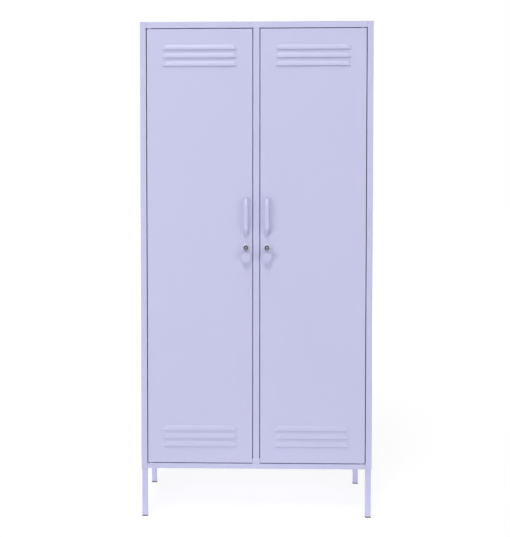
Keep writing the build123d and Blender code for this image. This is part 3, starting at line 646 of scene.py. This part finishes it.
# studio: a pale floor that fades to white and glows softly under the cabinet, white all round
studio = {
    "floorSize": 60.0, "floorTint": (0.88, 0.88, 0.88, 1), "floorShown": (0.30, 0.30, 0.30, 1),
    "nearGlow": 0.80, "farGlow": 1.0, "nearEdge": 1.5, "farEdge": 6.0,
    "underPlace": (0.08, 0.16, 0), "underGlow": 0.46, "noGlow": 0.0,
    "underEdge": 0.3, "outerEdge": 1.0,
    "surround": (1, 1, 1, 1), "ambient": 0.22, "shownLevel": 1.0,
}
# two banks above, one at each side, and two behind for the back and the sides
lamps = {
    "topBank": {
        "place": (-1.0, -8.4, 9.3), "aim": (0, 0, 0.9), "wide": 3.2, "tall": 3.2, "watts": 394},
    "overheadBank": {
        "place": (-0.6, -2.2, 6.2), "aim": (0, -0.2, 1.0), "wide": 2.4, "tall": 2.4, "watts": 74},
    "leftBank": {
        "place": (-3.6, -4.6, 0.8), "aim": (0, 0, 0.8), "wide": 3.4, "tall": 1.4, "watts": 84},
    "rightBank": {
        "place": (4.2, -5.4, 0.9), "aim": (0, 0, 0.9), "wide": 3.4, "tall": 1.4, "watts": 68},
    "rearLeftBank": {
        "place": (-5.0, 4.2, 2.6), "aim": (0, 0, 0.9), "wide": 3.0, "tall": 2.0, "watts": 90},
    "rearRightBank": {
        "place": (5.0, 4.2, 2.6), "aim": (0, 0, 0.9), "wide": 3.0, "tall": 2.0, "watts": 90},
}


# tells what the camera, reflections and glass see from what lights the object
def seenDirectly(tree):
    path = tree.nodes.new("ShaderNodeLightPath")
    either = addNode(tree, "ShaderNodeMath", operation="MAXIMUM")
    anyOf = addNode(tree, "ShaderNodeMath", operation="MAXIMUM")
    tree.links.new(path.outputs["Is Camera Ray"], either.inputs[0])
    tree.links.new(path.outputs["Is Glossy Ray"], either.inputs[1])
    tree.links.new(either.outputs[0], anyOf.inputs[0])
    tree.links.new(path.outputs["Is Transmission Ray"], anyOf.inputs[1])
    return anyOf.outputs[0]


def joinShaders(tree, kind, first, second):
    joined = tree.nodes.new(kind)
    tree.links.new(first, joined.inputs[-2])
    tree.links.new(second, joined.inputs[-1])
    return joined


def addPaper(tree, tint):
    paper = tree.nodes.new("ShaderNodeBsdfDiffuse")
    paper.inputs["Color"].default_value = tint
    return paper.outputs[0]


# light from the floor that changes from one level to another with the distance
def addGlow(tree, distance, edges, levels):
    fade = addNode(tree, "ShaderNodeMapRange", interpolation_type="SMOOTHSTEP")
    for title, key in zip(("From Min", "From Max", "To Min", "To Max"), edges + levels):
        fade.inputs[title].default_value = studio[key]
    glow = tree.nodes.new("ShaderNodeEmission")
    tree.links.new(distance, fade.inputs["Value"])
    tree.links.new(fade.outputs["Result"], glow.inputs["Strength"])
    return glow.outputs[0]


def makePaper():
    finish = bpy.data.materials.new("studioPaper")
    finish.use_nodes = True
    tree = finish.node_tree
    tree.nodes.clear()
    output = tree.nodes.new("ShaderNodeOutputMaterial")
    place = tree.nodes.new("ShaderNodeTexCoord").outputs["Object"]
    reach = addNode(tree, "ShaderNodeVectorMath", operation="LENGTH")
    under = addNode(tree, "ShaderNodeVectorMath", operation="DISTANCE")
    under.inputs[1].default_value = studio["underPlace"]
    for measure in (reach, under):
        tree.links.new(place, measure.inputs[0])
    glow = addGlow(tree, reach.outputs["Value"],
                   ("nearEdge", "farEdge"), ("nearGlow", "farGlow"))
    lift = addGlow(tree, under.outputs["Value"],
                   ("underEdge", "outerEdge"), ("underGlow", "noGlow"))
    lit = joinShaders(tree, "ShaderNodeAddShader", addPaper(tree, studio["floorShown"]), glow)
    raised = joinShaders(tree, "ShaderNodeAddShader", addPaper(tree, studio["floorTint"]), lift)
    pick = joinShaders(tree, "ShaderNodeMixShader", raised.outputs[0], lit.outputs[0])
    tree.links.new(seenDirectly(tree), pick.inputs[0])
    tree.links.new(pick.outputs[0], output.inputs["Surface"])
    return finish


def makeFloor():
    bm = bmesh.new()
    bmesh.ops.create_grid(bm, x_segments=1, y_segments=1, size=studio["floorSize"] / 2)
    mesh = bpy.data.meshes.new("studioFloor")
    bm.to_mesh(mesh)
    bm.free()
    mesh.materials.append(makePaper())
    floor = bpy.data.objects.new("studioFloor", mesh)
    scene.collection.objects.link(floor)


def addSurround(tree, level):
    surround = tree.nodes.new("ShaderNodeBackground")
    surround.inputs["Color"].default_value = studio["surround"]
    surround.inputs["Strength"].default_value = level
    return surround.outputs[0]


def makeSurround():
    world = bpy.data.worlds.new("studioWorld")
    world.use_nodes = True
    scene.world = world
    tree = world.node_tree
    tree.nodes.clear()
    output = tree.nodes.new("ShaderNodeOutputWorld")
    soft, white = addSurround(tree, studio["ambient"]), addSurround(tree, studio["shownLevel"])
    pick = joinShaders(tree, "ShaderNodeMixShader", soft, white)
    tree.links.new(seenDirectly(tree), pick.inputs[0])
    tree.links.new(pick.outputs[0], output.inputs["Surface"])


def makeLamp(name, bank):
    light = bpy.data.lights.new(name, "AREA")
    light.shape = "RECTANGLE"
    light.size = bank["wide"]
    light.size_y = bank["tall"]
    light.energy = bank["watts"]
    lamp = bpy.data.objects.new(name, light)
    lamp.location = bank["place"]
    beam = Vector(bank["aim"]) - Vector(bank["place"])
    lamp.rotation_euler = beam.to_track_quat("-Z", "Y").to_euler()
    scene.collection.objects.link(lamp)


makeFloor()
makeSurround()
for name, bank in lamps.items():
    makeLamp(name, bank)
scene.view_settings.view_transform = "Standard"
print("studio lit")
